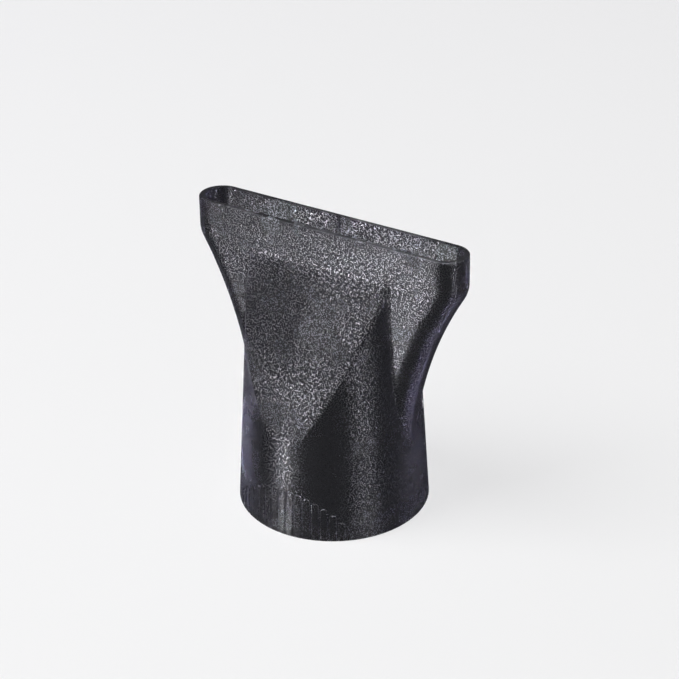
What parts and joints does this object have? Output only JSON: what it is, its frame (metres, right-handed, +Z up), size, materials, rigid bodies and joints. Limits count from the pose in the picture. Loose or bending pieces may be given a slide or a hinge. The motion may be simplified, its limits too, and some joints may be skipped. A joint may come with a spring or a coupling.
{
  "type": "hair dryer styling nozzle",
  "caption": "Wide flat-mouthed styling nozzle that pushes onto a salon hair dryer's barrel and swivels on a gripping collar in its round base.",
  "frame": {"origin": "centre of the bottom rim, on the surface that the nozzle stands on", "axes": "+X along the mouth's slot, +Y through its depth with the grip lands facing -Y, +Z up from the base to the mouth"},
  "size_m": [0.0776, 0.05, 0.0777],
  "materials": {
    "grained_nylon": "black, coarse spark-eroded grain",
    "collar_plastic": "black, fine satin",
    "silicone": "dark grey, soft matte",
    "spring_steel": "bright drawn wire",
    "washer_plastic": "natural white, waxy"
  },
  "bodies": {
    "nozzle": {"nozzle_shell": "grained_nylon", "centre_vane": "grained_nylon", "upper_thrust_washer": "washer_plastic", "lower_thrust_washer": "washer_plastic", "retaining_clip": "spring_steel"},
    "collar": {"barrel_collar": "collar_plastic", "grip_spring": "spring_steel", "barrel_seal": "silicone", "grip_pad_1": "silicone", "grip_pad_2": "silicone", "grip_pad_3": "silicone", "grip_pad_4": "silicone", "grip_pad_5": "silicone", "grip_pad_6": "silicone"}
  },
  "joints": [
    {"name": "nozzle_swivel", "type": "hinge", "parent": "nozzle", "child": "collar", "pos_m": [0, 0, 0.0082], "axis": [0, 0, 1], "continuous": true}
  ]
}
